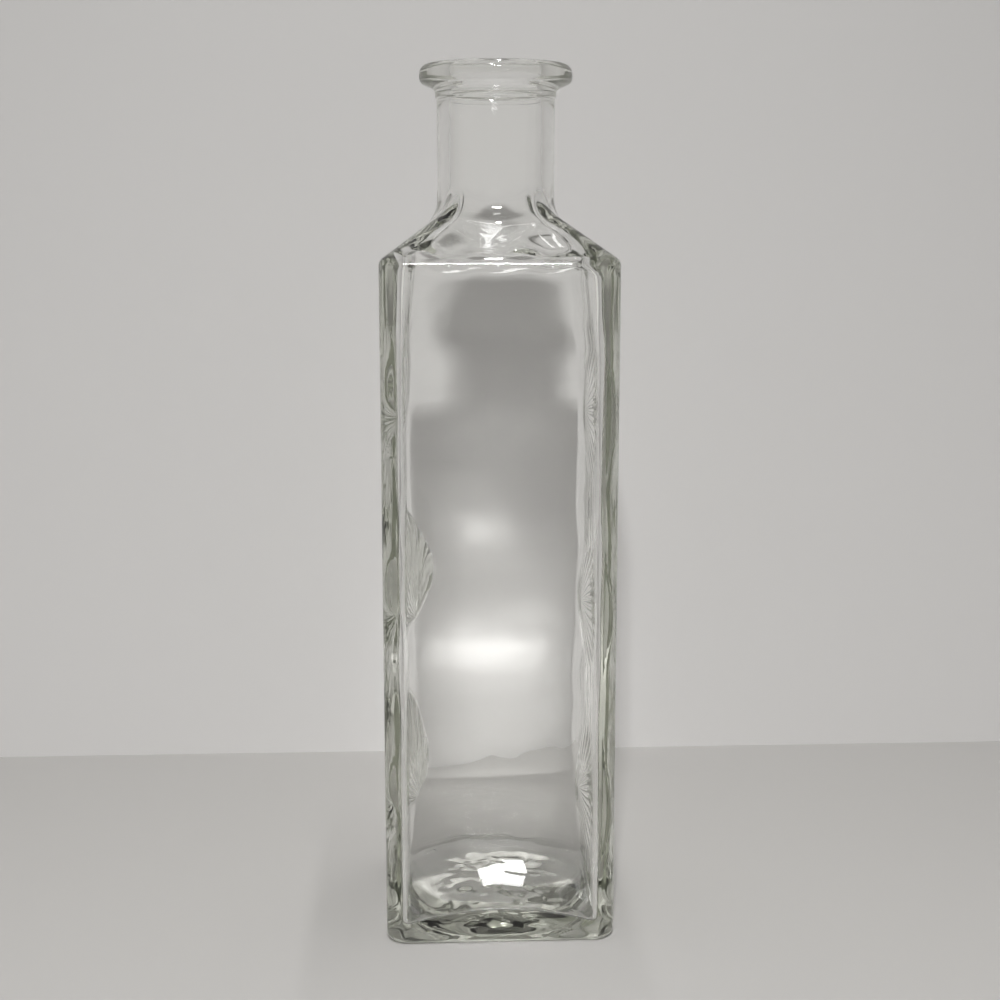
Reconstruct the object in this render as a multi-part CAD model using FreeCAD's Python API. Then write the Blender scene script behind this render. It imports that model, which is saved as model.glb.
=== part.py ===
"""Square glass liquor decanter: one hollow piece of mould-blown glass.

Frame: millimetres, +Z up. The origin is the centre of the base, on the plane it stands on.
The plain faces look along -Y (front) and +Y (back); the starburst faces look along -X and +X.
"""

import FreeCAD, Part
import math
import os

from FreeCAD import Placement, Rotation, Vector

# ---- Driving dimensions, each written once ----

# Body
body_width = 71.0             # across the two starburst faces
body_depth = 71.0             # across the two plain faces
shoulder_height = 210.5       # from the table to the edge where the walls turn in
neck_height = 58.3            # from the shoulder edge to the top of the lip
body_corner_radius = 6.0      # the four upright edges
heel_radius = 3.0             # edge round the foot
shoulder_radius = 3.0         # edge where wall meets shoulder
shoulder_slope = 36.0         # degrees above level, at the middle of a face

# Neck and lip
bore_radius = 14.0            # the stopper's seat
neck_wall = 4.1
neck_flare_radius = 10.5      # hollow curve between shoulder and neck
mouth_rounding = 1.6          # inner edge of the mouth
lip_overhang = 5.3            # how far the lip stands out from the neck
lip_thickness = 5.6           # upright, at the lip's outer edge
lip_top_rounding = 2.9
lip_bottom_rounding = 2.3
lip_underside_drop = 2.0      # the underside falls this much towards the neck
collar_width = 0.5            # how far the collar under the lip stands out from the neck
collar_height = 2.6

# Glass thickness
side_wall = 5.2               # starburst faces
plain_wall = 4.7              # front and back
shoulder_wall = 4.6           # measured square to the slope
cavity_corner_radius = 6.5
cavity_heel_radius = 1.6
cavity_shoulder_radius = 5.0
cavity_flare_radius = 12.0
floor_at_corner = 5.1         # height of the inner floor's corners above the table
floor_at_middle = 14.0        # height of the inner floor's crown above the table

# Hollow under the base
recess_radius = 26.0
recess_depth = 1.4
recess_edge_slope = 45.0      # degrees

# Starbursts
star_count = 3                # one above another on each side face
pattern_foot_gap = 7.5        # from the table to the lowest ray's tip
pattern_shoulder_gap = 18.0   # from the highest ray's tip to the shoulder edge
star_tip_gap = 1.0            # between the tips of two stars' upright rays
star_rays = 24
star_depth = 4.3              # at the star's centre
star_core_radius = 8.5        # of the pit at the centre
star_ray_depth = 1.2          # of a ray's groove where it leaves the pit
star_fan_radius = 17.5        # length of the sideways rays
star_reach_power = 8          # how fast the rays shorten away from upright
bulges_left = (6.5, 8.5, 3.0)    # how far the inner wall swells behind each star, lowest first
bulges_right = (2.5, 3.0, 2.0)
bulge_radius = 21.0           # size of a swelling on the inner wall
bulge_rise_left = 7.0         # the left swellings sit this much above their stars
bulge_rise_right = 0.0

# Working allowances
tool_overrun = 2.0            # how far a cutting solid runs past the face that it cuts
stem_sink = 12.0              # how far a neck or bore starts below the shoulder edge
hip_clearance = 0.5           # between the hips' top corners and the neck that hides them
hip_top_rounding = 2.0        # corners of the small square at the hips' top
snap = 0.01                   # how near counts as touching when edges are looked up

# ---- Sizes that follow ----

total_height = shoulder_height + neck_height
half_width = body_width / 2
half_depth = body_depth / 2
neck_radius = bore_radius + neck_wall
lip_radius = neck_radius + lip_overhang
slope_tangent = math.tan(math.radians(shoulder_slope))
cavity_half_width = half_width - side_wall
cavity_half_depth = half_depth - plain_wall
pattern_length = shoulder_height - pattern_foot_gap - pattern_shoulder_gap
star_pitch = (pattern_length + star_tip_gap) / star_count
star_reach = (star_pitch - star_tip_gap) / 2
star_heights = [pattern_foot_gap + star_reach + i * star_pitch for i in range(star_count)]


def rounded_rectangle(half_x, half_y, radius, height):
    """A level wire of four straight sides and four round corners, centred on the Z axis."""
    edges = []
    corners = [(1, 1), (-1, 1), (-1, -1), (1, -1)]
    for turn, (sign_x, sign_y) in enumerate(corners):
        centre = Vector(sign_x * (half_x - radius), sign_y * (half_y - radius), height)
        start = math.radians(90 * turn)
        points = [centre + Vector(math.cos(start + math.radians(step)) * radius,
                                  math.sin(start + math.radians(step)) * radius, 0)
                  for step in (0, 45, 90)]
        if edges:
            edges.append(Part.LineSegment(previous, points[0]).toShape())
        else:
            first = points[0]
        edges.append(Part.Arc(*points).toShape())
        previous = points[2]
    edges.append(Part.LineSegment(previous, first).toShape())
    return Part.Wire(edges)


def hipped_block(half_x, half_y, radius, bottom, edge_height, top_half):
    """A square block with a hipped top: upright to edge_height, then sloping in to a small square."""
    rise = (max(half_x, half_y) - top_half) * slope_tangent
    foot = rounded_rectangle(half_x, half_y, radius, bottom)
    edge = rounded_rectangle(half_x, half_y, radius, edge_height)
    top = rounded_rectangle(top_half, top_half, hip_top_rounding, edge_height + rise)
    block = Part.makeLoft([foot, edge], True, True)
    hips = Part.makeLoft([edge, top], True, True)
    return block.fuse(hips).removeSplitter()


def points_along(edge):
    """Three points of an edge: its two ends and its middle."""
    first, last = edge.FirstParameter, edge.LastParameter
    return [edge.valueAt(parameter) for parameter in (first, (first + last) / 2, last)]


def is_level(edge, height):
    """True for an edge that lies level at one height."""
    box = edge.BoundBox
    return abs(box.ZMin - height) < snap and abs(box.ZMax - height) < snap


def from_axis(point):
    """A point's distance from the Z axis."""
    return math.hypot(point.x, point.y)


def edges_round(shape, height, reach):
    """The level edges at one height that lie farther than reach from the Z axis."""
    return [edge for edge in shape.Edges
            if is_level(edge, height) and from_axis(points_along(edge)[1]) > reach]


def circles_at(shape, radius, height):
    """The level edges at one height that lie on a circle of one radius about the Z axis."""
    return [edge for edge in shape.Edges
            if is_level(edge, height) and abs(from_axis(points_along(edge)[1]) - radius) < snap]


def root_edges(shape, radius, lowest, highest):
    """The edges where a round stem of one radius meets a sloping shape, between two heights."""
    found = []
    for edge in shape.Edges:
        box = edge.BoundBox
        on_stem = all(abs(from_axis(point) - radius) < snap for point in points_along(edge))
        seam = box.XLength < snap and box.YLength < snap
        if on_stem and not seam and lowest < box.ZMin and box.ZMax < highest - snap:
            found.append(edge)
    return found


def turned(points):
    """A solid turned about the Z axis from an outline of (radius, height) points."""
    corners = [Vector(radius, 0, height) for radius, height in points]
    outline = Part.makePolygon(corners + corners[:1])
    return Part.Face(outline).revolve(Vector(0, 0, 0), Vector(0, 0, 1), 360)


def bottle_form(half_x, half_y, radius, bottom, edge_height, edge_rounding,
                stem_radius, stem_top, flare_radius):
    """A block with hipped shoulders and a round stem that flares where it leaves them."""
    top_half = stem_radius / math.sqrt(2) - hip_clearance
    block = hipped_block(half_x, half_y, radius, bottom, edge_height, top_half)
    block = block.makeFillet(edge_rounding, edges_round(block, edge_height, stem_radius))
    stem_foot = edge_height - stem_sink
    stem = Part.makeCylinder(stem_radius, stem_top - stem_foot, Vector(0, 0, stem_foot))
    form = block.fuse(stem).removeSplitter()
    return form.makeFillet(flare_radius, root_edges(form, stem_radius, edge_height, stem_top))


def outer_body():
    """The outside of the body, with the neck but not its lip."""
    body = bottle_form(half_width, half_depth, body_corner_radius, 0, shoulder_height,
                       shoulder_radius, neck_radius, total_height - lip_thickness,
                       neck_flare_radius)
    return body.makeFillet(heel_radius, edges_round(body, 0, neck_radius))


def lip_and_collar():
    """The flat ring round the mouth, and the low collar under it."""
    under = total_height - lip_thickness
    root = under - lip_underside_drop
    ring = turned([(0, root - collar_height), (neck_radius + collar_width, root - collar_height),
                   (neck_radius + collar_width, root), (lip_radius, under),
                   (lip_radius, total_height), (0, total_height)])
    ring = ring.makeFillet(lip_top_rounding, circles_at(ring, lip_radius, total_height))
    return ring.makeFillet(lip_bottom_rounding, circles_at(ring, lip_radius, under))


def cavity():
    """The space inside, up through the bore, before its floor is domed."""
    # The slope inside lies one wall under the one outside, so its edge is lower than the shoulder.
    sunk = shoulder_wall / math.cos(math.radians(shoulder_slope))
    edge_height = shoulder_height - sunk + side_wall * slope_tangent
    return bottle_form(cavity_half_width, cavity_half_depth, cavity_corner_radius,
                       floor_at_corner - tool_overrun, edge_height, cavity_shoulder_radius,
                       bore_radius, total_height + tool_overrun, cavity_flare_radius)


def domed_floor(space):
    """Cut the crowned inner floor into the space: part of a ball through its crown and corners."""
    rise = floor_at_middle - floor_at_corner
    corner = math.hypot(cavity_half_width - cavity_corner_radius,
                        cavity_half_depth - cavity_corner_radius)
    span = corner + cavity_corner_radius
    ball_radius = (span ** 2 + rise ** 2) / (2 * rise)
    centre = Vector(0, 0, floor_at_middle - ball_radius)
    space = space.cut(Part.makeSphere(ball_radius, centre))
    rim = [edge for edge in space.Edges
           if len(space.ancestorsOfType(edge, Part.Face)) == 2
           and all(abs(point.distanceToPoint(centre) - ball_radius) < snap
                   for point in points_along(edge))]
    return space.makeFillet(cavity_heel_radius, rim)


def inner_swellings():
    """The low round swellings of the side walls into the cavity, one behind each star."""
    swellings = []
    for side, bulges, rise in ((-1, bulges_left, bulge_rise_left),
                               (1, bulges_right, bulge_rise_right)):
        for star_height, height in zip(star_heights, bulges):
            ball_radius = (bulge_radius ** 2 + height ** 2) / (2 * height)
            offset = side * (cavity_half_width - height + ball_radius)
            swellings.append(Part.makeSphere(ball_radius,
                                             Vector(offset, 0, star_height + rise)))
    return swellings


def ray_length(angle):
    """How far a ray reaches from the star's centre; the angle is measured from upright."""
    upright = abs(math.cos(angle)) ** star_reach_power
    return star_fan_radius + (star_reach - star_fan_radius) * upright


def on_face(angle, reach, depth):
    """A point of a star that lies in the plane X = 0: angle from upright, reach, and depth below it."""
    return Vector(-depth, math.sin(angle) * reach, math.cos(angle) * reach)


def star_tool():
    """The sunk star as a solid under the plane X = 0, its deepest point towards -X.

    A pit at the centre, and V grooves that run from its rim to the rays' tips.
    """
    step = 2 * math.pi / star_rays
    pit = Vector(-star_depth, 0, 0)
    foot = []
    faces = []
    for i in range(star_rays):
        angle = i * step
        tip = on_face(angle, ray_length(angle), 0)
        groove = on_face(angle, star_core_radius, star_ray_depth)
        before = on_face(angle - step / 2, star_core_radius, 0)
        after = on_face(angle + step / 2, star_core_radius, 0)
        foot += [before, tip]
        for corners in ((pit, before, groove), (pit, groove, after),
                        (before, tip, groove), (groove, tip, after)):
            faces.append(Part.Face(Part.makePolygon(corners + corners[:1])))
    faces.append(Part.Face(Part.makePolygon(foot + foot[:1])))
    return Part.Solid(Part.makeShell(faces))


def star_tools():
    """All the sunk stars, in place on both side faces."""
    tools = []
    for side in (0, 180):
        turn = Rotation(Vector(0, 0, 1), side)
        for star_height in star_heights:
            seat = turn.multVec(Vector(half_width, 0, 0)) + Vector(0, 0, star_height)
            tool = star_tool()
            tool.Placement = Placement(seat, turn)
            tools.append(tool)
    return tools


def base_recess():
    """The shallow round hollow under the base, which leaves a foot to stand on."""
    edge_run = recess_depth / math.tan(math.radians(recess_edge_slope))
    overrun_run = tool_overrun / math.tan(math.radians(recess_edge_slope))
    return Part.makeCone(recess_radius + overrun_run, recess_radius - edge_run,
                         recess_depth + tool_overrun, Vector(0, 0, -tool_overrun))


def decanter():
    """The whole bottle as one solid of glass."""
    outside = outer_body().fuse(lip_and_collar()).removeSplitter()
    inside = domed_floor(cavity())
    for swelling in inner_swellings():
        inside = inside.cut(swelling)
    glass = outside.cut(inside).cut(base_recess())
    for tool in star_tools():
        glass = glass.cut(tool)
    glass = glass.makeFillet(mouth_rounding, circles_at(glass, bore_radius, total_height))
    return glass


def main():
    os.makedirs("parts", exist_ok=True)
    bottle = decanter()
    bottle.exportStep("parts/decanter.step")
    print("solids", len(bottle.Solids), "valid", bottle.isValid(), "faces", len(bottle.Faces))
    print("glass volume, cubic mm", round(bottle.Volume))
    print("height, width, depth", round(bottle.BoundBox.ZLength, 2),
          round(bottle.BoundBox.XLength, 2), round(bottle.BoundBox.YLength, 2))


main()
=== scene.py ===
# %% [markdown]
# # A square glass decanter
#
# This lesson builds the looks of one object: an empty, clear, mould-blown glass decanter. It is a
# square block of a bottle with hipped shoulders, a round neck, a flat ring lip and three sunk
# starbursts on each side face. Everything is one piece of glass, so the whole lesson is about one
# skin and one material, and about the light that makes clear glass readable.
#
# The frame comes first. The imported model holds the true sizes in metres, so every size below is
# either read from it or named once in millimetres.

# %% Load the frame
import math

import bmesh
import bpy
from mathutils import Matrix, Vector, noise


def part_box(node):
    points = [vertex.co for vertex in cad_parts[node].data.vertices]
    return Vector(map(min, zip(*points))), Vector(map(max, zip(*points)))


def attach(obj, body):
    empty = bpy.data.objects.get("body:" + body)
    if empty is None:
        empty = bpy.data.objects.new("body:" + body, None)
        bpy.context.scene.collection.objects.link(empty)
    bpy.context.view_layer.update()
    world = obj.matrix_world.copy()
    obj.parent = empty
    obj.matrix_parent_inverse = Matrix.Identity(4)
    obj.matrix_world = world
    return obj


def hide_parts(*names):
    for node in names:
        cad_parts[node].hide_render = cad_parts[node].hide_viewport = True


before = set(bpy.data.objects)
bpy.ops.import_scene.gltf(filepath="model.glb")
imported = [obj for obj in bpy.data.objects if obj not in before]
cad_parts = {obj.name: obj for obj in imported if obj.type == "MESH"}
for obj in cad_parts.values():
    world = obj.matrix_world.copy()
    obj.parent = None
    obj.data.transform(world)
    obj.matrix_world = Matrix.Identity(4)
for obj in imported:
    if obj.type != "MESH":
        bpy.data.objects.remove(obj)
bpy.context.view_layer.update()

MM = 0.001
glass_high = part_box("decanter")[1]
half_width = glass_high.x
half_depth = glass_high.y
lip_top = glass_high.z
print("the glass stands", round(lip_top / MM, 1), "mm tall on a foot",
      round(2 * half_width / MM, 1), "mm wide")

# %% [markdown]
# ## The sizes of the glass
#
# A moulded bottle is a thick shell, and clear glass shows both of its surfaces. So the walls, the
# floor and the bore need sizes as much as the outside does. They are the values that the model was
# built from, named here once more because the frame holds only the finished shape. The upright
# inner corners alone are drawn sharper than the model's: each one shows as a thin bright line
# through the front face, and a round corner would smear it.

# %% Name the sizes of the outside
shoulder_height = lip_top - 58.3 * MM
shoulder_slope = math.tan(math.radians(36))
body_corner = 6.0 * MM
heel = 3.0 * MM
shoulder_rounding = 3.0 * MM

bore = 14.0 * MM
neck = bore + 4.1 * MM
neck_flare = 10.5 * MM
lip = neck + 5.3 * MM
lip_thickness = 5.6 * MM
lip_drop = 2.0 * MM
lip_top_rounding = 2.9 * MM
lip_bottom_rounding = 2.3 * MM
mouth_rounding = 1.6 * MM
collar = neck + 0.5 * MM
collar_height = 2.6 * MM
print("bore", round(2 * bore / MM, 1), "mm, lip", round(2 * lip / MM, 1), "mm across")

# %% Name the sizes of the inside
side_wall = 5.2 * MM
shoulder_wall = 4.6 * MM
inside_half_width = half_width - side_wall
inside_half_depth = half_depth - 4.7 * MM
inside_corner = 2.6 * MM
inside_shoulder_corner = 6.5 * MM
inside_heel = 1.6 * MM
inside_rounding = 5.0 * MM
inside_flare = 12.0 * MM
inside_shoulder = (shoulder_height - shoulder_wall / math.cos(math.atan(shoulder_slope))
                   + side_wall * shoulder_slope)
floor_crown = 14.0 * MM
floor_corner = 5.1 * MM

recess = 26.0 * MM
recess_depth = 1.4 * MM
print("the inner floor rises", round((floor_crown - floor_corner) / MM, 1), "mm to its middle")

# %% [markdown]
# ## Columns round the bottle
#
# The body is square and the neck is round, and one sheet of quads has to cover both. Every ring of
# the mesh therefore has the same number of columns. On a flat face the columns are spaced like
# the rays of a star seen from the middle of a square cell, closer in the middle and wider apart
# towards the corners. That spacing pays off later, when a star's spokes have to meet the ring
# vertices exactly. Between two faces, a few more columns turn the rounded corner.

# %% Place a column on a rounded square
SIDE_STEPS = 12
CORNER_STEPS = 8
QUARTER = 2 * SIDE_STEPS + CORNER_STEPS
COLUMNS = 4 * QUARTER
SPOKE = math.radians(45 / SIDE_STEPS)

OUT = (Vector((1, 0, 0)), Vector((0, 1, 0)), Vector((-1, 0, 0)), Vector((0, -1, 0)))
ALONG = (Vector((0, 1, 0)), Vector((-1, 0, 0)), Vector((0, -1, 0)), Vector((1, 0, 0)))


def side_of(column):
    """The face a column belongs to, counted from +X, and its place from the face's middle."""
    side = (column + QUARTER // 2) // QUARTER
    return side % 4, column - side * QUARTER


def on_square(column, half_x, half_y, corner):
    """A column's place on a level rounded square."""
    side, place = side_of(column)
    out, along = (half_x, half_y) if side % 2 == 0 else (half_y, half_x)
    flat = along - corner
    if abs(place) <= SIDE_STEPS:
        return OUT[side] * out + ALONG[side] * (flat * math.tan(place * SPOKE))
    turn = math.radians(90) * (abs(place) - SIDE_STEPS) / CORNER_STEPS
    reach = flat + corner * math.sin(turn)
    return (OUT[side] * (out - corner + corner * math.cos(turn))
            + ALONG[side] * math.copysign(reach, place))


outside_square = [on_square(c, half_width, half_depth, body_corner) for c in range(COLUMNS)]
inside_square = [on_square(c, inside_half_width, inside_half_depth, inside_corner)
                 for c in range(COLUMNS)]
soft_square = [on_square(c, inside_half_width, inside_half_depth, inside_shoulder_corner)
               for c in range(COLUMNS)]
direction = [place.normalized() for place in outside_square]
print(COLUMNS, "columns go round the bottle,", 2 * SIDE_STEPS, "of them across each face")

# %% [markdown]
# ## Rings: what happens at each height
#
# A ring is one list of places, one for each column. Stacked rings describe the whole skin, from the
# middle of the underside, up the outside, over the lip, down the bore and along the inner wall to
# the middle of the inner floor. Describing it ring by ring, rather than joining a box to a tube,
# gives the soft flare where square shoulders run into a round neck, with no seam to hide.
#
# The shoulders are a pyramid whose point lies on the bottle's axis. Seen in an upright cut through
# any column, they are a straight slope, and the neck is a straight upright, so the flare between
# them is a plain arc that touches both.

# %% Helpers for rings
def level_ring(square, share, height):
    """The rounded square, shrunk to a share of its size, at one height."""
    return [place * share + Vector((0, 0, height)) for place in square]


def round_ring(radius, height):
    """A circle with the same columns as the square."""
    return [way * radius + Vector((0, 0, height)) for way in direction]


def between(low_ring, high_ring, share):
    """A ring part of the way from one ring to another."""
    return [a.lerp(b, share) for a, b in zip(low_ring, high_ring)]


def steps(count):
    """Even shares from just past 0 up to 1."""
    return [(i + 1) / count for i in range(count)]


def slope_edge(half, edge_height, rounding):
    """The arc that turns an upright wall into the slope: its places as (distance, height) pairs."""
    lean = math.atan(shoulder_slope)
    centre_out = half - rounding
    centre_up = (edge_height + (half - centre_out) * shoulder_slope
                 - rounding / math.cos(lean))
    turns = [i / 6 * (math.pi / 2 - lean) for i in range(7)]
    return [(centre_out + rounding * math.cos(t), centre_up + rounding * math.sin(t))
            for t in turns]


def flare_ring(square, edge_height, half, radius, flare, share):
    """The ring a share of the way round the arc from the slope (0) to the upright neck (1)."""
    ring = []
    point = edge_height + half * shoulder_slope
    for place, way in zip(square, direction):
        fall = half * shoulder_slope / place.length
        lean = math.atan(fall)
        centre_out = radius + flare
        centre_up = point - fall * centre_out + flare * math.sqrt(1 + fall * fall)
        turn = (math.pi / 2 - lean) * (1 - share)
        reach = centre_out - flare * math.cos(turn)
        height = centre_up - flare * math.sin(turn)
        ring.append(way * reach + Vector((0, 0, height)))
    return ring


print("each ring has", len(round_ring(neck, 0)), "places")

# %% [markdown]
# ## The underside
#
# The bottle stands on a square foot. In its middle lies a shallow hollow, with creases that cooling
# left in it, and round the hollow runs a ring of fine knurls. A bump in the material could draw
# both. But the foot of a clear bottle is seen from above, through the thick floor, and light that
# has been through that much glass shows only real relief. So the hollow is a dish whose height is
# varied by noise, and every other column of the ring is lifted, which leaves radial grooves.

# %% Rings of the underside
CREASE_SIZE = 4.5 * MM
knurl_depth = 0.35 * MM
knurls = ((26.7 * MM, 0.0), (27.3 * MM, knurl_depth), (30.3 * MM, knurl_depth), (30.9 * MM, 0.0))


def crease(place):
    """By what share of its depth the hollow rises or falls at a place."""
    level = Vector((place.x, place.y, 0)) / CREASE_SIZE
    return 0.28 * noise.noise(level) + 0.12 * noise.noise(level * 2.3)


rings = []
for share in steps(26):
    depth = recess_depth * (1 + math.cos(math.pi * share)) / 2
    ring = round_ring(recess * share, depth)
    rings.append([place + Vector((0, 0, crease(place) * depth)) for place in ring])
for radius, rise in knurls:
    ring = round_ring(radius, 0)
    rings.append([place + Vector((0, 0, rise * (c % 2))) for c, place in enumerate(ring)])
knurl_edge = rings[-1]
foot_edge = level_ring(outside_square, 1 - heel / half_width, 0)
for share in (0.5, 1.0):
    rings.append(between(knurl_edge, foot_edge, share))
for share in steps(6):
    turn = share * math.pi / 2
    out = half_width - heel + heel * math.sin(turn)
    rings.append(level_ring(outside_square, out / half_width, heel - heel * math.cos(turn)))
print(len(rings), "rings reach the top of the heel")

# %% [markdown]
# ## The outer wall
#
# The rows of the wall follow the three stars of the side faces. Each star gets a square cell, one
# above another, and the rows are spaced in it as the columns are. A star could be cut into a plain
# wall with a boolean, but a boolean leaves long thin faces that show as streaks in glass. A cell
# that is a clean block of quads can simply be taken out and replaced by a star.

# %% Rings of the outer wall
STAR_COUNT = 3
pattern_foot = 7.5 * MM
pattern_head = shoulder_height - 18.0 * MM
tip_gap = 1.0 * MM
cell = (pattern_head - pattern_foot + tip_gap) / STAR_COUNT
half_cell = cell / 2
star_heights = [pattern_foot - tip_gap / 2 + cell * (i + 0.5) for i in range(STAR_COUNT)]

first_row = len(rings)
rows = [star_heights[0] + half_cell * math.tan(-SIDE_STEPS * SPOKE)]
for middle in star_heights:
    rows += [middle + half_cell * math.tan(i * SPOKE)
             for i in range(1 - SIDE_STEPS, SIDE_STEPS + 1)]
for height in rows:
    rings.append(level_ring(outside_square, 1, height))
shoulder_arc = slope_edge(half_width, shoulder_height, shoulder_rounding)
wall_top = shoulder_arc[0][1]
for share in steps(5)[:-1]:
    rings.append(level_ring(outside_square, 1, rows[-1] + (wall_top - rows[-1]) * share))
print("star centres stand at", [round(h / MM, 1) for h in star_heights], "mm")

# %% [markdown]
# ## Shoulders, neck and lip
#
# From the shoulder edge the rings shrink up the slope, round the flare, up the neck and its low
# collar, and over the lip. The lip is a turned ring: its upper edge is rounded more than its lower
# one, and its underside drops a little towards the neck, as a tool leaves it on hot glass.

# %% Rings of the shoulders and the neck
for out, height in shoulder_arc:
    rings.append(level_ring(outside_square, out / half_width, height))
slope_foot = rings[-1]
slope_head = flare_ring(outside_square, shoulder_height, half_width, neck, neck_flare, 0)
for share in steps(8)[:-1]:
    rings.append(between(slope_foot, slope_head, share))
for i in range(11):
    rings.append(flare_ring(outside_square, shoulder_height, half_width, neck, neck_flare, i / 10))
lip_under = lip_top - lip_thickness
lip_root = lip_under - lip_drop
collar_foot = lip_root - collar_height
neck_foot = rings[-1]
neck_head = round_ring(neck, collar_foot - 0.5 * MM)
for share in steps(9):
    rings.append(between(neck_foot, neck_head, share))


# %% Turn the collar and the lip
def arc(centre_out, centre_up, radius, start, end, count):
    """Points on an arc of a turned outline, angles in degrees from outwards."""
    angles = [math.radians(start + (end - start) * i / count) for i in range(count + 1)]
    return [(centre_out + radius * math.cos(a), centre_up + radius * math.sin(a))
            for a in angles]


underside = math.degrees(math.atan2(lip_drop, lip - collar))
bend = lip_bottom_rounding * math.tan(math.radians(90 - underside) / 2)
outline = [(neck + 0.15 * MM, collar_foot - 0.1 * MM), (neck + 0.38 * MM, collar_foot + 0.1 * MM),
           (collar, collar_foot + 0.5 * MM), (collar, collar_foot + 1.1 * MM),
           (collar, lip_root - 0.9 * MM), (collar + 0.25 * MM, lip_root - 0.25 * MM),
           (collar + 0.9 * MM, lip_root + 0.9 * MM * lip_drop / (lip - collar))]
outline += arc(lip - lip_bottom_rounding, lip_under + bend, lip_bottom_rounding,
               underside - 90, 0, 6)
outline += arc(lip - lip_top_rounding, lip_top - lip_top_rounding, lip_top_rounding, 0, 90, 10)
flat_top = lip - lip_top_rounding - bore - mouth_rounding
outline += [(bore + mouth_rounding + flat_top * share, lip_top) for share in (0.75, 0.5, 0.25)]
outline += arc(bore + mouth_rounding, lip_top - mouth_rounding, mouth_rounding, 90, 180, 6)
for out, height in outline:
    rings.append(round_ring(out, height))
print("the lip's outline has", len(outline), "points")

# %% [markdown]
# ## The inside
#
# Inside, the same steps run the other way: down the bore, round a wider flare, down the slope and
# the wall, and in over the floor. Only air touched the glass here while it was hot, so nothing
# inside is quite true. The wall swells inwards behind each sunk star, the floor is crowned, and
# slow waves run over all of it. Those waves are what makes the view through the bottle swim.
#
# A Displace modifier could add such waves later, but it would move the outer skin too. So each
# inner place is moved by a small function as its ring is laid. The waves are long across the
# bottle and short up and down, and they are weak behind the stars, where the swellings rule. The
# corners are soft under the shoulders and turn sharp a little way down the wall.

# %% Shape the inner wall
BULGE_RADIUS = 21.0 * MM
SHOULDER_SAG = 4.0 * MM
PLAIN_SIDES = (1, 3)
PLAIN_WAVE = 1.7 * MM
STAR_WAVE = 0.5 * MM
BULGES = {2: (8.5 * MM, 10.0 * MM, 3.0 * MM), 0: (4.0 * MM, 4.0 * MM, 3.0 * MM)}
BULGE_RISE = {2: 12.0 * MM, 0: 0.0}


def swelling(side, along, height):
    """How far the inner wall swells inwards behind the stars of one face."""
    deepest = 0.0
    for bulge, middle in zip(BULGES.get(side, ()), star_heights):
        reach = math.hypot(along, height - middle - BULGE_RISE[side]) / BULGE_RADIUS
        if reach < 1:
            deepest = max(deepest, bulge * (1 - reach * reach) ** 1.1)
    return deepest


def waves(place, size, seed):
    """Slow uneven waves of about one size, between -1 and 1."""
    return noise.noise(place / size + Vector((seed, 0, 0)))


def blown(place, column, strength):
    """An inner wall place, pushed in by the swelling and by the waves."""
    side, _ = side_of(column)
    push = swelling(side, place.dot(ALONG[side]), place.z)
    depth = PLAIN_WAVE if side in PLAIN_SIDES else STAR_WAVE
    squat = Vector((place.x * 0.25, place.y, place.z))
    push += strength * depth * (waves(squat, 25 * MM, 3.1) + 0.06 * waves(place, 13 * MM, 8.7))
    return place - OUT[side] * push


def sagged(place, strength):
    """An inner shoulder place, moved up or down a little by waves that run round the bottle."""
    level = Vector((place.x, place.y, 0))
    return place + Vector((0, 0, strength * SHOULDER_SAG * waves(level, 14 * MM, 21.3)))


for side, name in ((2, "left"), (0, "right")):
    deepest = max(swelling(side, 0, i * MM) for i in range(round(shoulder_height / MM)))
    print("the", name, "wall swells by up to", round(deepest / MM, 1), "mm")

# %% Shape the inner floor
FLOOR_WAVE = 0.8 * MM
corner_reach = math.hypot(inside_half_width - inside_corner,
                          inside_half_depth - inside_corner) + inside_corner
floor_rise = floor_crown - floor_corner
floor_ball = (corner_reach ** 2 + floor_rise ** 2) / (2 * floor_rise)


def floor_height(place):
    """The height of the crowned floor under a place."""
    reach = place.x ** 2 + place.y ** 2
    return floor_crown - floor_ball + math.sqrt(floor_ball ** 2 - reach)


print("the floor is part of a ball of", round(floor_ball / MM), "mm radius")

# %% Rings of the bore and the inner shoulders
inside_arc = slope_edge(inside_half_width, inside_shoulder, inside_rounding)
inside_foot = level_ring(soft_square, inside_arc[-1][0] / inside_half_width, inside_arc[-1][1])
inner_flare = [flare_ring(soft_square, inside_shoulder, inside_half_width, bore, inside_flare,
                          1 - i / 10) for i in range(11)]
bore_head = rings[-1]
for share in steps(10)[:-1]:
    rings.append(between(bore_head, inner_flare[0], share))
rings += inner_flare
for share in steps(6)[:-1]:
    ring = between(inner_flare[-1], inside_foot, share)
    rings.append([sagged(place, share) for place in ring])
for out, height in reversed(inside_arc):
    ring = level_ring(soft_square, out / inside_half_width, height)
    rings.append([sagged(place, 1) for place in ring])

print(len(rings), "rings reach the inner shoulder")

# %% Rings of the inner wall and the floor
INNER_ROWS = 84
heel_head = [Vector((p.x, p.y, floor_height(p) + inside_heel)) for p in inside_square]
soft_head = level_ring(soft_square, 1, inside_arc[0][1])
sharp_head = level_ring(inside_square, 1, inside_arc[0][1])
for share in steps(INNER_ROWS):
    wall_head = between(soft_head, sharp_head, min(1.0, share * 8))
    ring = between(wall_head, heel_head, share)
    fade = min(1.0, share * 12, (1 - share) * 3)
    ring = [blown(place, c, fade) for c, place in enumerate(ring)]
    rings.append([sagged(place, max(0.0, 1 - share * 6)) for place in ring])
for share in steps(5):
    turn = share * math.pi / 2
    scale = 1 - inside_heel * (1 - math.cos(turn)) / inside_half_width
    ring = []
    for place in inside_square:
        inner = place * scale
        inner.z = floor_height(inner) + inside_heel * (1 - math.sin(turn))
        ring.append(inner)
    rings.append(ring)
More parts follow.
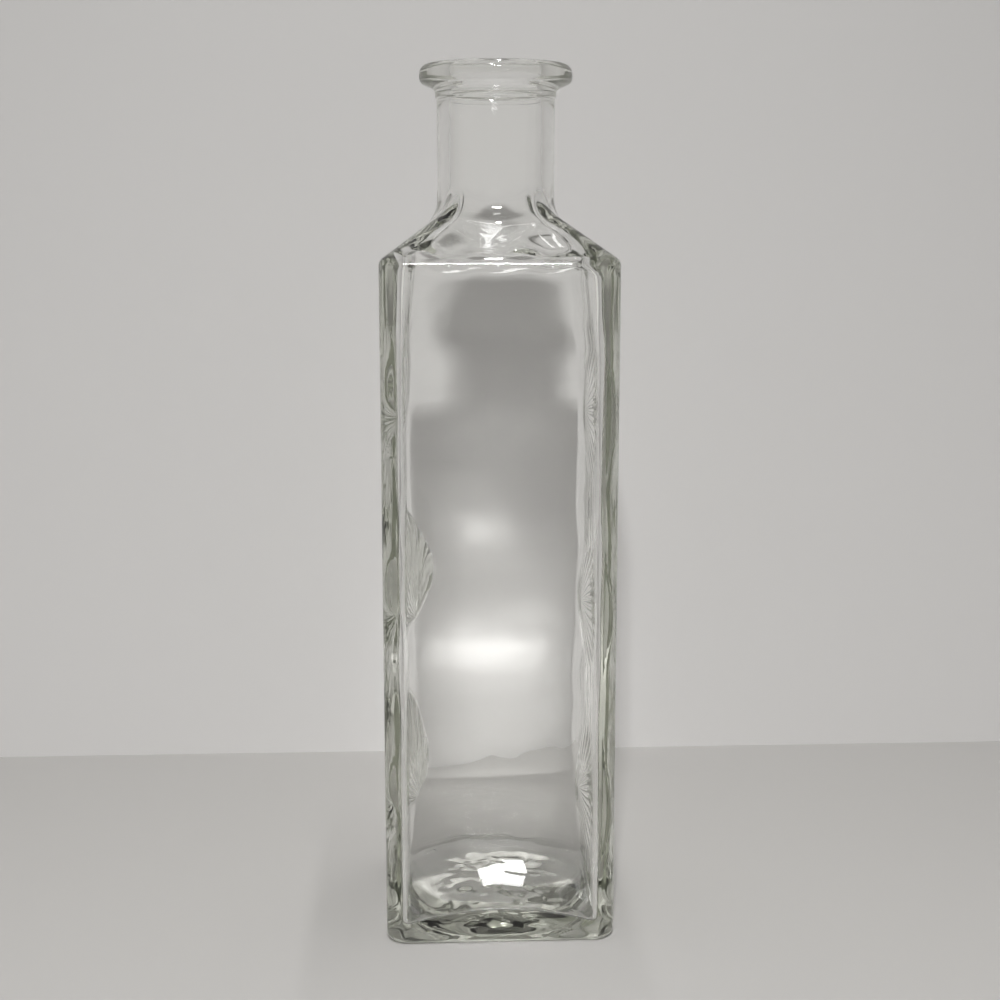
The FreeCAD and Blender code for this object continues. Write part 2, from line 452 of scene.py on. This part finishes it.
floor_edge = 1 - inside_heel / inside_half_width
for share in (0.97, 0.92, 0.86, 0.79, 0.71, 0.62, 0.53, 0.44, 0.35, 0.26, 0.17, 0.08):
    ring = []
    for place in inside_square:
        inner = place * (floor_edge * share)
        inner.z = floor_height(inner) + waves(inner, 15 * MM, 5.5) * FLOOR_WAVE * (1 - share ** 4)
        ring.append(inner)
    rings.append(ring)
print(len(rings), "rings describe the whole skin")

# %% [markdown]
# ## Grow the skin
#
# A bottle like this could be cut from a box with bevels, but each bevel would leave its own edge
# flow, and glass shows every kink. Instead one circle is extruded ring by ring, and each new ring is
# set down in its place. The two ends, under the foot and on the inner floor, are filled and poked
# into a fan, so the skin is closed.


# %% Extrude ring after ring
def grow(mesh, ring, places):
    """Extrude a closed ring of vertices once, and set the new vertices down in their places."""
    edges = [mesh.edges.get((a, b)) for a, b in zip(ring, ring[1:] + ring[:1])]
    made = bmesh.ops.extrude_edge_only(mesh, edges=edges)["geom"]
    fresh = {v for v in made if isinstance(v, bmesh.types.BMVert)}
    grown = []
    for vertex, place in zip(ring, places):
        twin = next(e.other_vert(vertex) for e in vertex.link_edges
                    if e.other_vert(vertex) in fresh)
        twin.co = place
        grown.append(twin)
    return grown


def close(mesh, ring, peak):
    """Fill a ring, and poke the fill into a fan whose middle is the peak."""
    edges = [mesh.edges.get((a, b)) for a, b in zip(ring, ring[1:] + ring[:1])]
    filled = bmesh.ops.edgeloop_fill(mesh, edges=edges)["faces"]
    poked = bmesh.ops.poke(mesh, faces=filled)
    poked["verts"][0].co = peak


print(len(rings) - 1, "extrusions will make the skin")

# %% Grow the whole skin
skin = bmesh.new()
made = bmesh.ops.create_circle(skin, segments=COLUMNS, radius=1)
first = made["verts"]
for vertex, place in zip(first, rings[0]):
    vertex.co = place
net = [list(first)]
for places in rings[1:]:
    net.append(grow(skin, net[-1], places))
close(skin, net[0], Vector((0, 0, recess_depth)))
close(skin, net[-1], Vector((0, 0, floor_crown)))
print(len(skin.verts), "vertices before the stars are sunk")

# %% [markdown]
# ## The starbursts
#
# Each side face carries three sunk stars, one above another: a pit in the middle, and V grooves that
# run out of it, short ones sideways and long ones up and down towards the next star. A texture
# couldn't do this, because the rays bend the light inside the glass, so they are real relief.
#
# The quads of a cell are taken out, which leaves a square hole. The hole's edge is then extruded
# inwards again and again, until it is a small circle round the pit. A groove lies along every
# fourth spoke, and the spokes beside it are drawn in to the groove's two lips, so that its edges
# stay sharp and meet in a point.

# %% Say how deep a star is
RAYS = 24
ray_step = 2 * math.pi / RAYS
pit_depth = 4.3 * MM
pit_radius = 8.5 * MM
ray_depth = 1.2 * MM
fan_radius = 17.5 * MM
ray_reach = half_cell - tip_gap / 2


def ray_length(upright_angle):
    """How far a ray reaches: far near upright, and only to the fan's edge elsewhere."""
    return fan_radius + (ray_reach - fan_radius) * abs(math.cos(upright_angle)) ** 8


def groove_width(length, reach):
    """Half the width of a ray's groove at a distance from the star's centre."""
    widest = pit_radius * math.tan(ray_step / 2)
    return widest * max(0.0, (length - reach) / (length - pit_radius))


def star_depth(along, up):
    """The depth of a star below the face, for a place measured from the star's centre."""
    reach = math.hypot(along, up)
    angle = math.atan2(along, up)
    ray = round(angle / ray_step) * ray_step
    aside = abs(angle - ray)
    if reach < pit_radius:
        share = aside / (ray_step / 2)
        fall = (pit_depth - ray_depth * (1 - share)) / pit_radius
        return pit_depth - reach * fall
    length = ray_length(ray)
    width = groove_width(length, reach)
    off = reach * math.sin(aside)
    if off >= width:
        return 0.0
    taper = width / groove_width(length, pit_radius)
    return ray_depth * taper ** 0.6 * (1 - off / width)


print("rays reach", round(fan_radius / MM, 1), "mm sideways and", round(ray_reach / MM, 1), "mm up")

# %% Draw a star's spokes
SPOKES = 8 * SIDE_STEPS
SPOKES_PER_RAY = SPOKES // RAYS
LEAST_WIDTH = 0.12 * MM


def spoke_angle(spoke):
    """A spoke's angle in the face, from the along direction, anticlockwise."""
    return (spoke - SIDE_STEPS) * SPOKE


def on_spoke(spoke, reach):
    """A place on a spoke as (along, up), drawn in beside a groove."""
    angle = spoke_angle(spoke)
    beside = (spoke - SIDE_STEPS) % SPOKES_PER_RAY
    if beside in (1, SPOKES_PER_RAY - 1) and reach > pit_radius:
        aside = 1 if beside == 1 else -1
        ray = angle - aside * SPOKE
        length = ray_length(math.pi / 2 - ray)
        width = max(groove_width(length, reach), LEAST_WIDTH, (reach - length) * 0.5)
        angle = ray + aside * min(SPOKE, width / reach)
    return math.cos(angle) * reach, math.sin(angle) * reach


print(SPOKES, "spokes,", SPOKES_PER_RAY, "for each ray")

# %% Find the edge of a cell
def cell_edge(star, side):
    """The vertices round one cell, in the order of the spokes."""
    middle_row = first_row + SIDE_STEPS * (2 * star + 1)
    middle = side * QUARTER

    def pick(row, column):
        return net[middle_row + row][(middle + column) % COLUMNS]

    n = SIDE_STEPS
    return ([pick(i, n) for i in range(-n, n)] + [pick(n, -i) for i in range(-n, n)]
            + [pick(-i, -n) for i in range(-n, n)] + [pick(-n, i) for i in range(-n, n)])


print("a cell has", len(cell_edge(0, 0)), "vertices round it")

# %% Sink a star
def sink_star(mesh, star, side):
    """Replace one cell of the wall with a sunk star."""
    edge = cell_edge(star, side)
    centre = OUT[side] * half_width + Vector((0, 0, star_heights[star]))
    limit = half_depth - body_corner
    inside = [f for f in mesh.faces
              if abs((f.calc_center_median() - centre).dot(OUT[side])) < 0.01 * MM
              and abs((f.calc_center_median() - centre).dot(ALONG[side])) < limit
              and abs(f.calc_center_median().z - star_heights[star]) < half_cell]
    bmesh.ops.delete(mesh, geom=inside, context="FACES")

    def set_down(along, up):
        depth = star_depth(along, up)
        return centre + ALONG[side] * along + Vector((0, 0, up)) - OUT[side] * depth

    outer = 28.0 * MM
    start = [((v.co - centre).dot(ALONG[side]), v.co.z - centre.z) for v in edge]
    ring = edge
    for share in steps(3):
        places = []
        for spoke, (along, up) in enumerate(start):
            to_along, to_up = on_spoke(spoke, outer)
            places.append(set_down(along + (to_along - along) * share, up + (to_up - up) * share))
        ring = grow(mesh, ring, places)
    reach = outer
    while reach > 0.8 * MM:
        reach -= (0.42 + 0.055 * reach / MM) * MM if reach > pit_radius else 0.62 * MM
        reach = max(reach, 0.5 * MM)
        ring = grow(mesh, ring, [set_down(*on_spoke(s, reach)) for s in range(SPOKES)])
    close(mesh, ring, centre - OUT[side] * pit_depth)


# %% Sink all six
for side in (0, 2):
    for star in range(STAR_COUNT):
        sink_star(skin, star, side)
bmesh.ops.recalc_face_normals(skin, faces=skin.faces)
print(len(skin.faces), "faces with all six stars sunk,",
      sum(1 for e in skin.edges if not e.is_manifold), "open edges")

# %% Hand the skin over to a piece
for face in skin.faces:
    face.smooth = True
mesh = bpy.data.meshes.new("glass_decanter")
skin.to_mesh(mesh)
print("glass volume", round(skin.calc_volume() / MM ** 3 / 1000, 1), "cubic centimetres")
skin.free()
decanter = bpy.data.objects.new("glass_decanter", mesh)
bpy.context.scene.collection.objects.link(decanter)
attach(decanter, "root")
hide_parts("decanter")

# %% [markdown]
# ## Writing shader maths as sums
#
# The materials and the room are node trees, and trees are easier to read as formulas. This small
# class wraps a socket, so that `a * b + 1` adds the Math nodes for it. Any other node comes from
# its one method, which is given the node's type, its settings, which are set first, and what goes
# into its sockets.


# %% Wrap sockets
class Sum:
    """A value in a node tree, which can be added to, multiplied and so on."""

    def __init__(self, tree, socket):
        self.tree = tree
        self.socket = socket

    def node(self, kind, settings, inputs, output=0):
        """Add a node, set it up, feed its sockets, and return one of its outputs."""
        made = self.tree.nodes.new(kind)
        for name, value in settings.items():
            setattr(made, name, value)
        for name, value in inputs.items():
            if isinstance(value, Sum):
                self.tree.links.new(value.socket, made.inputs[name])
            else:
                made.inputs[name].default_value = value
        return Sum(self.tree, made.outputs[output])

    def maths(self, operation, first, second):
        return self.node("ShaderNodeMath", {"operation": operation}, {0: first, 1: second})

    def __add__(self, other):
        return self.maths("ADD", self, other)

    def __radd__(self, other):
        return self.maths("ADD", other, self)

    def __sub__(self, other):
        return self.maths("SUBTRACT", self, other)

    def __rsub__(self, other):
        return self.maths("SUBTRACT", other, self)

    def __mul__(self, other):
        return self.maths("MULTIPLY", self, other)

    def __rmul__(self, other):
        return self.maths("MULTIPLY", other, self)


def blank(material):
    """Empty a material's or world's node tree, and return the tree."""
    material.use_nodes = True
    material.node_tree.nodes.clear()
    return material.node_tree


def clamped(value, low, high):
    """A value stretched so that low becomes 0 and high becomes 1, and cut off there."""
    return value.node("ShaderNodeMapRange", {"clamp": True},
                      {"Value": value, "From Min": low, "From Max": high})


# %% [markdown]
# ## The glass
#
# Clear container glass is not colourless. Iron in the sand gives it a faint green-grey, which shows
# only where light runs a long way through it, in the corners, the foot and the lip. A coloured
# surface would tint the thin walls just as much. So the surface is white, and the tint is a volume
# absorption, which dims light by the length of its way inside the skin.
#
# The surface bends light by 1.52, as soda-lime glass does, and is polished. The mould's skin left a
# faint ripple in it, which a bump is enough for, because it only has to unsettle the highlights.

# %% Make the glass
RIPPLE_HEIGHT = 0.35
glass = bpy.data.materials.new("clear_glass")
tree = blank(glass)
coordinates = tree.nodes.new("ShaderNodeTexCoord")
spot = Sum(tree, coordinates.outputs["Object"])

ripple = spot.node("ShaderNodeTexNoise", {}, {"Vector": spot, "Scale": 70.0, "Detail": 1.0})
relief = ripple * RIPPLE_HEIGHT
bump = spot.node("ShaderNodeBump", {}, {"Height": relief, "Distance": 1.0 * MM,
                                        "Strength": 0.6})

tint = spot.node("ShaderNodeVolumeAbsorption", {}, {"Color": (0.34, 0.385, 0.22, 1.0),
                                                    "Density": 9.0})
surface = spot.node("ShaderNodeBsdfPrincipled", {"distribution": "GGX"}, {
    "Base Color": (1.0, 1.0, 1.0, 1.0), "Roughness": 0.0, "IOR": 1.52,
    "Transmission Weight": 1.0, "Normal": bump})
result = tree.nodes.new("ShaderNodeOutputMaterial")
tree.links.new(surface.socket, result.inputs["Surface"])
tree.links.new(tint.socket, result.inputs["Volume"])
decanter.data.materials.append(glass)
print("glass tree:", len(tree.nodes), "nodes")

# %% [markdown]
# ## Floor and wall
#
# Clear glass has no look of its own: it shows what stands round it. So the room is half of the
# finish. The bottle stands on a plain pale floor, a hand's width in front of a plain pale wall,
# and the line where the two meet, seen through the body, tells the eye how clear and how thick the
# glass is. A backdrop with a rounded sweep would be the usual studio way, but it has no such line.

# %% Lay the floor and put up the wall
FLOOR_REACH = 20
WALL_REACH = 2
wall_place = half_depth + 106 * MM


def stand(name, reach, turned):
    """A large square of floor or wall, turned and moved to its place."""
    square = bmesh.new()
    bmesh.ops.create_grid(square, x_segments=1, y_segments=1, size=reach)
    bmesh.ops.transform(square, matrix=turned, verts=square.verts)
    mesh = bpy.data.meshes.new(name)
    square.to_mesh(mesh)
    square.free()
    made = bpy.data.objects.new(name, mesh)
    bpy.context.scene.collection.objects.link(made)
    return made


upright = (Matrix.Translation((0, wall_place, WALL_REACH))
           @ Matrix.Rotation(math.radians(90), 4, "X"))
floor = stand("floor", FLOOR_REACH, Matrix())
wall = stand("wall", WALL_REACH, upright)
print("the wall stands", round((wall_place - half_depth) / MM), "mm behind the glass")

# %% [markdown]
# ## Paint
#
# Both are matt emulsion. The wall's colour is a little paler near the floor and darker higher up:
# this is painted light, for the light that the table throws back at it. Two things about it are
# for the viewer's sake. Seen from behind, it is clear, so that the back of the bottle can be looked
# at through it. And far away, where the lamps don't reach, it turns to an even pale tone, but only
# for rays that the eye follows. Stray light still finds plain paint there, so the pale distance
# puts no light on the glass.

# %% Mix the paints
NEAR = 0.45
FAR = 1.1


def looked_at(tree):
    """1 for rays that the eye follows: straight, reflected or through glass. 0 for stray light."""
    rays = tree.nodes.new("ShaderNodeLightPath")
    followed = (Sum(tree, rays.outputs["Is Glossy Ray"])
                + Sum(tree, rays.outputs["Is Transmission Ray"])
                + Sum(tree, rays.outputs["Is Camera Ray"]))
    return clamped(followed, 0.0, 1.0)


def matt_paint(name, low_colour, high_colour, far_colour):
    """A matt paint whose colour changes with height, which on the wall is painted light. It is pale
    far away, and is clear from behind.
    """
    paint = bpy.data.materials.new(name)
    tree = blank(paint)
    start = Sum(tree, tree.nodes.new("ShaderNodeTexCoord").outputs["Object"])
    parts = tree.nodes.new("ShaderNodeSeparateXYZ")
    tree.links.new(start.socket, parts.inputs[0])
    # Painted light: the colour shifts with height, paler low down, for light thrown back by the
    # floor.
    height = clamped(Sum(tree, parts.outputs["Z"]), 0.0, 0.35)
    colour = start.node("ShaderNodeMix", {"data_type": "RGBA"}, {
        0: height, 6: low_colour, 7: high_colour}, 2)
    matt = start.node("ShaderNodeBsdfPrincipled", {}, {
        "Base Color": colour, "Roughness": 0.9, "Specular IOR Level": 0.1})
    distance = start.node("ShaderNodeVectorMath", {"operation": "LENGTH"}, {0: start}, "Value")
    far = clamped(distance, NEAR, FAR) * looked_at(tree)
    glow = start.node("ShaderNodeEmission", {}, {"Color": far_colour, "Strength": 1.0})
    matt = start.node("ShaderNodeMixShader", {}, {0: far, 1: matt, 2: glow})
    geometry = tree.nodes.new("ShaderNodeNewGeometry")
    behind = Sum(tree, geometry.outputs["Backfacing"])
    clear = start.node("ShaderNodeBsdfTransparent", {}, {})
    both = start.node("ShaderNodeMixShader", {}, {0: behind, 1: matt, 2: clear})
    result = tree.nodes.new("ShaderNodeOutputMaterial")
    tree.links.new(both.socket, result.inputs["Surface"])
    return paint


floor_paint = (0.50, 0.49, 0.475, 1.0)
floor.data.materials.append(matt_paint("pale_floor", floor_paint, floor_paint,
                                       (0.44, 0.43, 0.42, 1.0)))
# The wall's two colours are painted light: paler at the floor, darker higher up.
wall.data.materials.append(matt_paint("pale_wall", (0.63, 0.62, 0.61, 1.0),
                                      (0.42, 0.413, 0.405, 1.0), (0.50, 0.49, 0.48, 1.0)))
print("painted", floor.name, "and", wall.name)

# %% [markdown]
# ## The rest of the room
#
# The world stands for the other walls and the ceiling. It is pale low down and darker overhead, and
# it is the dark ceiling that draws the thick edges, the shoulders and the lip as soft grey-green
# bands against the pale wall. A picture of a real room would do this too, but a few plain tones
# keep the edges calm. The world gives three answers: an even fill to the stray light, the room to
# rays that are reflected, and a slightly paler room to rays that come out of the glass.

# %% Light the room
world = bpy.data.worlds.new("light_room")
bpy.context.scene.world = world
tree = blank(world)
way = Sum(tree, tree.nodes.new("ShaderNodeTexCoord").outputs["Generated"])
parts = tree.nodes.new("ShaderNodeSeparateXYZ")
tree.links.new(way.socket, parts.inputs[0])
up = Sum(tree, parts.outputs["Z"])
ceiling = clamped(up, 0.55, 0.9)
rays = tree.nodes.new("ShaderNodeLightPath")
wall_light = way.node("ShaderNodeBackground", {}, {"Color": (0.52, 0.51, 0.49, 1.0)})
ceiling_light = way.node("ShaderNodeBackground", {}, {"Color": (0.22, 0.22, 0.21, 1.0)})
room = way.node("ShaderNodeMixShader", {}, {0: ceiling, 1: wall_light, 2: ceiling_light})
through = way.node("ShaderNodeBackground", {}, {"Color": (0.68, 0.67, 0.64, 1.0)})
inside = Sum(tree, rays.outputs["Is Transmission Ray"]) * (1 - ceiling * 0.5)
room = way.node("ShaderNodeMixShader", {}, {0: inside, 1: room, 2: through})
fill = way.node("ShaderNodeBackground", {}, {"Color": (1.0, 0.98, 0.96, 1.0), "Strength": 0.275})
sky = way.node("ShaderNodeMixShader", {}, {0: looked_at(tree), 1: fill, 2: room})
result = tree.nodes.new("ShaderNodeOutputWorld")
tree.links.new(sky.socket, result.inputs["Surface"])
print("room tree:", len(tree.nodes), "nodes")

# %% [markdown]
# ## The lamps
#
# One softbox, high up and a little to the left of the viewer, gives most of the light. It throws
# the shadow of the lip and the neck on the wall just below the shoulders, where it is seen through
# the body. A strip overhead and a wide box above the viewer are there for their reflections: the
# lines of light along the shoulder edge, on the neck and on the lip.
#
# A helper makes each lamp, hides it from the camera, and says for which other rays it isn't there.

# %% Set up the main lamps
def softbox(name, size_x, size_y, place, aim, power, spread=180, unseen_by=()):
    """A rectangular lamp that faces a point. The camera and the kinds in unseen_by miss it."""
    lamp = bpy.data.lights.new(name, "AREA")
    lamp.spread = math.radians(spread)
    lamp.shape = "RECTANGLE"
    lamp.size = size_x
    lamp.size_y = size_y
    lamp.energy = power
    box = bpy.data.objects.new(name, lamp)
    box.location = place
    box.rotation_euler = (Vector(aim) - Vector(place)).to_track_quat("-Z", "Y").to_euler()
    box.visible_camera = False
    for kind in unseen_by:
        setattr(box, "visible_" + kind, False)
    bpy.context.scene.collection.objects.link(box)
    return box


KEY_PLACE = (-0.046, -0.68, 0.67)
softbox("overhead_strip", 0.012, 0.22, (0.018, 0.02, 0.66), (0.018, 0.02, 0), 0.6)
softbox("key_softbox", 0.06, 0.05, KEY_PLACE, (0, 0, 0.1), 6.3, unseen_by=("glossy",))
softbox("glint_softbox", 0.18, 0.07, (0.003, -0.68, 0.60), (0, 0, 0.2), 3.8,
        unseen_by=("diffuse",))
print(len(bpy.data.lights), "main lamps")

# %% [markdown]
# ## Light gathered by the glass
#
# The shadow of a bottle is never even. Its thick edges and its floor work as lenses, gather part of
# the light, and throw it as bright patches into the shadow. Such patches are called caustics. The
# renderer can find them by chance, but clean ones would take hours. So small lamps stand in for
# them, close to the wall and the floor, and out of sight of anything but matt paint.
#
# Two more lamps pass the glass as if it weren't there, because light linking leaves the glass out
# of what blocks them: a weak copy of the main lamp, and a narrow pool of light on the floor under
# the foot. A last one, in the cavity, shows only as a glint on the crowned floor.

# %% Add the gathered light
PATCH_ONLY = ("glossy", "transmission")
lets_through = bpy.data.collections.new("lets_light_through")
lets_through.objects.link(decanter)
soft_key = softbox("key_through_glass", 0.06, 0.05, KEY_PLACE, (0, 0, 0.1), 0.5,
                   unseen_by=PATCH_ONLY)
pool = softbox("foot_pool", 0.03, 0.03, (0, 0, 0.7), (0, 0.001, 0), 0.022, 4.5,
               unseen_by=PATCH_ONLY)
for lamp in (soft_key, pool):
    lamp.light_linking.blocker_collection = lets_through
lets_through.collection_objects[0].light_linking.link_state = "EXCLUDE"
for name, wide, tall, gap, x, z, power in (
        ("low_glow", 0.044, 0.008, 0.014, 0.004, 0.047, 0.0050),
        ("wide_glow", 0.048, 0.034, 0.022, 0.007, 0.020, 0.0064),
        ("body_glow", 0.040, 0.050, 0.020, 0.010, 0.075, 0.0022),
        ("neck_glow", 0.040, 0.014, 0.016, 0.006, 0.132, 0.0008),
        ("high_glow", 0.012, 0.012, 0.014, -0.002, 0.098, 0.0017)):
    softbox(name, wide, tall, (x, wall_place - gap, z), (x, wall_place, z), power,
            unseen_by=PATCH_ONLY)
softbox("shade_glow", 0.045, 0.050, (0.005, 0.085, 0.022), (0.005, 0.085, 0), 0.0035,
        unseen_by=PATCH_ONLY)
softbox("floor_glint", 0.024, 0.018, (0.003, 0.022, 0.040), (0.006, -0.012, 0.012), 0.008, 80,
        unseen_by=("diffuse", "transmission"))
print(len(bpy.data.lights), "lamps in all")

# %% [markdown]
# ## The camera
#
# The camera stands 45 cm in front of the glass, a little above the shoulders, and looks slightly
# down, so that the front face, the front shoulder and the mouth all read. It stands a little to the
# left, which shows more of the right-hand stars through the body. The lens is shifted slightly, to
# keep the bottle in the middle of the frame without tipping its uprights any further.
#
# Light bounces many times between the two skins of the foot and the shoulders before it gets out,
# and paths that are cut short turn black. So reflections get more bounces here than usual, and the
# matt room gets fewer.

# %% Place the camera
lens_distance = 0.450
lens_height = 0.225
lens_left = 0.021
pitch = math.radians(9.51)

camera_data = bpy.data.cameras.new("camera")
camera_data.sensor_width = 36
camera_data.lens = 55.8
camera_data.shift_y = -0.03
camera = bpy.data.objects.new("camera", camera_data)
camera.location = (-lens_left, -half_depth - lens_distance, lens_height)
yaw = math.radians(2.63)
camera.rotation_euler = (math.pi / 2 - pitch, 0, -yaw)
bpy.context.scene.collection.objects.link(camera)
bpy.context.scene.camera = camera

scene = bpy.context.scene
scene.view_settings.view_transform = "Standard"
scene.cycles.max_bounces = 18
scene.cycles.diffuse_bounces = 2
scene.cycles.transmission_bounces = 12
scene.cycles.glossy_bounces = 16
print("camera", round(lens_distance / MM), "mm in front of the glass")
